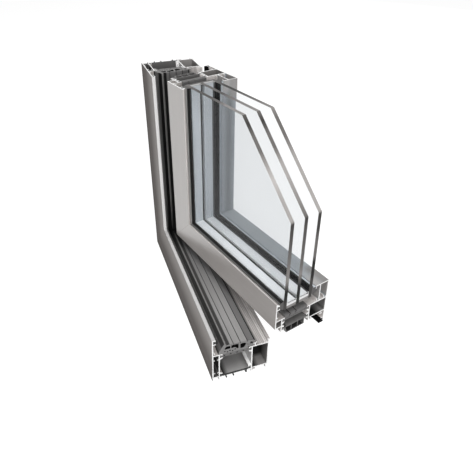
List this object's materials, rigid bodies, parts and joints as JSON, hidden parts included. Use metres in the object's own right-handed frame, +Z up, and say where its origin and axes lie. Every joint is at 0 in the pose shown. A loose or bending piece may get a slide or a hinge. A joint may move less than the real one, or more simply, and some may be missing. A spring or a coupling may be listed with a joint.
{
  "type": "window corner section",
  "caption": "Corner section of an inward opening insulated metal window, with its frame, ajar sash and layered glazing cut open to show the hollow profiles.",
  "frame": {"origin": "outer lower corner of the frame on its exterior face, where the underside of the sill, the outer side of the jamb and the exterior face meet", "axes": "+X along the sill away from the jamb, +Y from the exterior to the interior, +Z up along the jamb"},
  "size_m": [0.3372, 0.1592, 0.325],
  "materials": {
    "exterior_aluminium": "satin warm grey finish with bright cut ends",
    "interior_aluminium": "satin pale grey finish with bright cut ends",
    "bead_aluminium": "satin pale grey",
    "insulating_strip": "black glass-filled polyamide",
    "centre_gasket": "matt mid grey sealing rubber",
    "rebate_gasket": "black sealing rubber",
    "glazing_gasket": "black sealing rubber",
    "clear_glass": "clear float glass with dark edges",
    "spacer_metal": "pale satin metal",
    "edge_sealant": "matt grey sealant",
    "rebate_foam": "dark grey closed-cell foam",
    "setting_block": "black plastic",
    "cleat_aluminium": "plain die-cast metal",
    "hinge_metal": "grey coated metal"
  },
  "bodies": {
    "root": {"frame_inner_cleat": "cleat_aluminium", "frame_jamb_centre_gasket": "centre_gasket", "frame_jamb_foot_strip": "insulating_strip", "frame_jamb_inner_shell": "interior_aluminium", "frame_jamb_lip_gasket": "rebate_gasket", "frame_jamb_outer_shell": "exterior_aluminium", "frame_jamb_top_strip": "insulating_strip", "frame_outer_cleat": "cleat_aluminium", "frame_sill_centre_gasket": "centre_gasket", "frame_sill_foot_strip": "insulating_strip", "frame_sill_inner_shell": "interior_aluminium", "frame_sill_lip_gasket": "rebate_gasket", "frame_sill_outer_shell": "exterior_aluminium", "frame_sill_top_strip": "insulating_strip", "glazing_bead_rail": "bead_aluminium", "glazing_bead_stile": "bead_aluminium", "inner_edge_seal_rail": "edge_sealant", "inner_edge_seal_stile": "edge_sealant", "inner_glass_pane": "clear_glass", "inner_glazing_gasket_rail": "glazing_gasket", "inner_glazing_gasket_stile": "glazing_gasket", "inner_spacer_rail": "spacer_metal", "inner_spacer_stile": "spacer_metal", "middle_glass_pane": "clear_glass", "outer_edge_seal_rail": "edge_sealant", "outer_edge_seal_stile": "edge_sealant", "outer_glass_pane": "clear_glass", "outer_glazing_gasket_rail": "glazing_gasket", "outer_glazing_gasket_stile": "glazing_gasket", "outer_spacer_rail": "spacer_metal", "outer_spacer_stile": "spacer_metal", "pivot_bearing": "hinge_metal", "sash_hinge_plate": "hinge_metal", "sash_inner_cleat": "cleat_aluminium", "sash_rail_chamber_strip": "insulating_strip", "sash_rail_foam": "rebate_foam", "sash_rail_inner_shell": "interior_aluminium", "sash_rail_outer_shell": "exterior_aluminium", "sash_rail_overlap_gasket": "rebate_gasket", "sash_rail_upper_strip": "insulating_strip", "sash_stile_chamber_strip": "insulating_strip", "sash_stile_foam": "rebate_foam", "sash_stile_inner_shell": "interior_aluminium", "sash_stile_outer_shell": "exterior_aluminium", "sash_stile_overlap_gasket": "rebate_gasket", "sash_stile_upper_strip": "insulating_strip", "setting_block_rail": "setting_block", "setting_block_stile": "setting_block"}
  },
  "joints": []
}
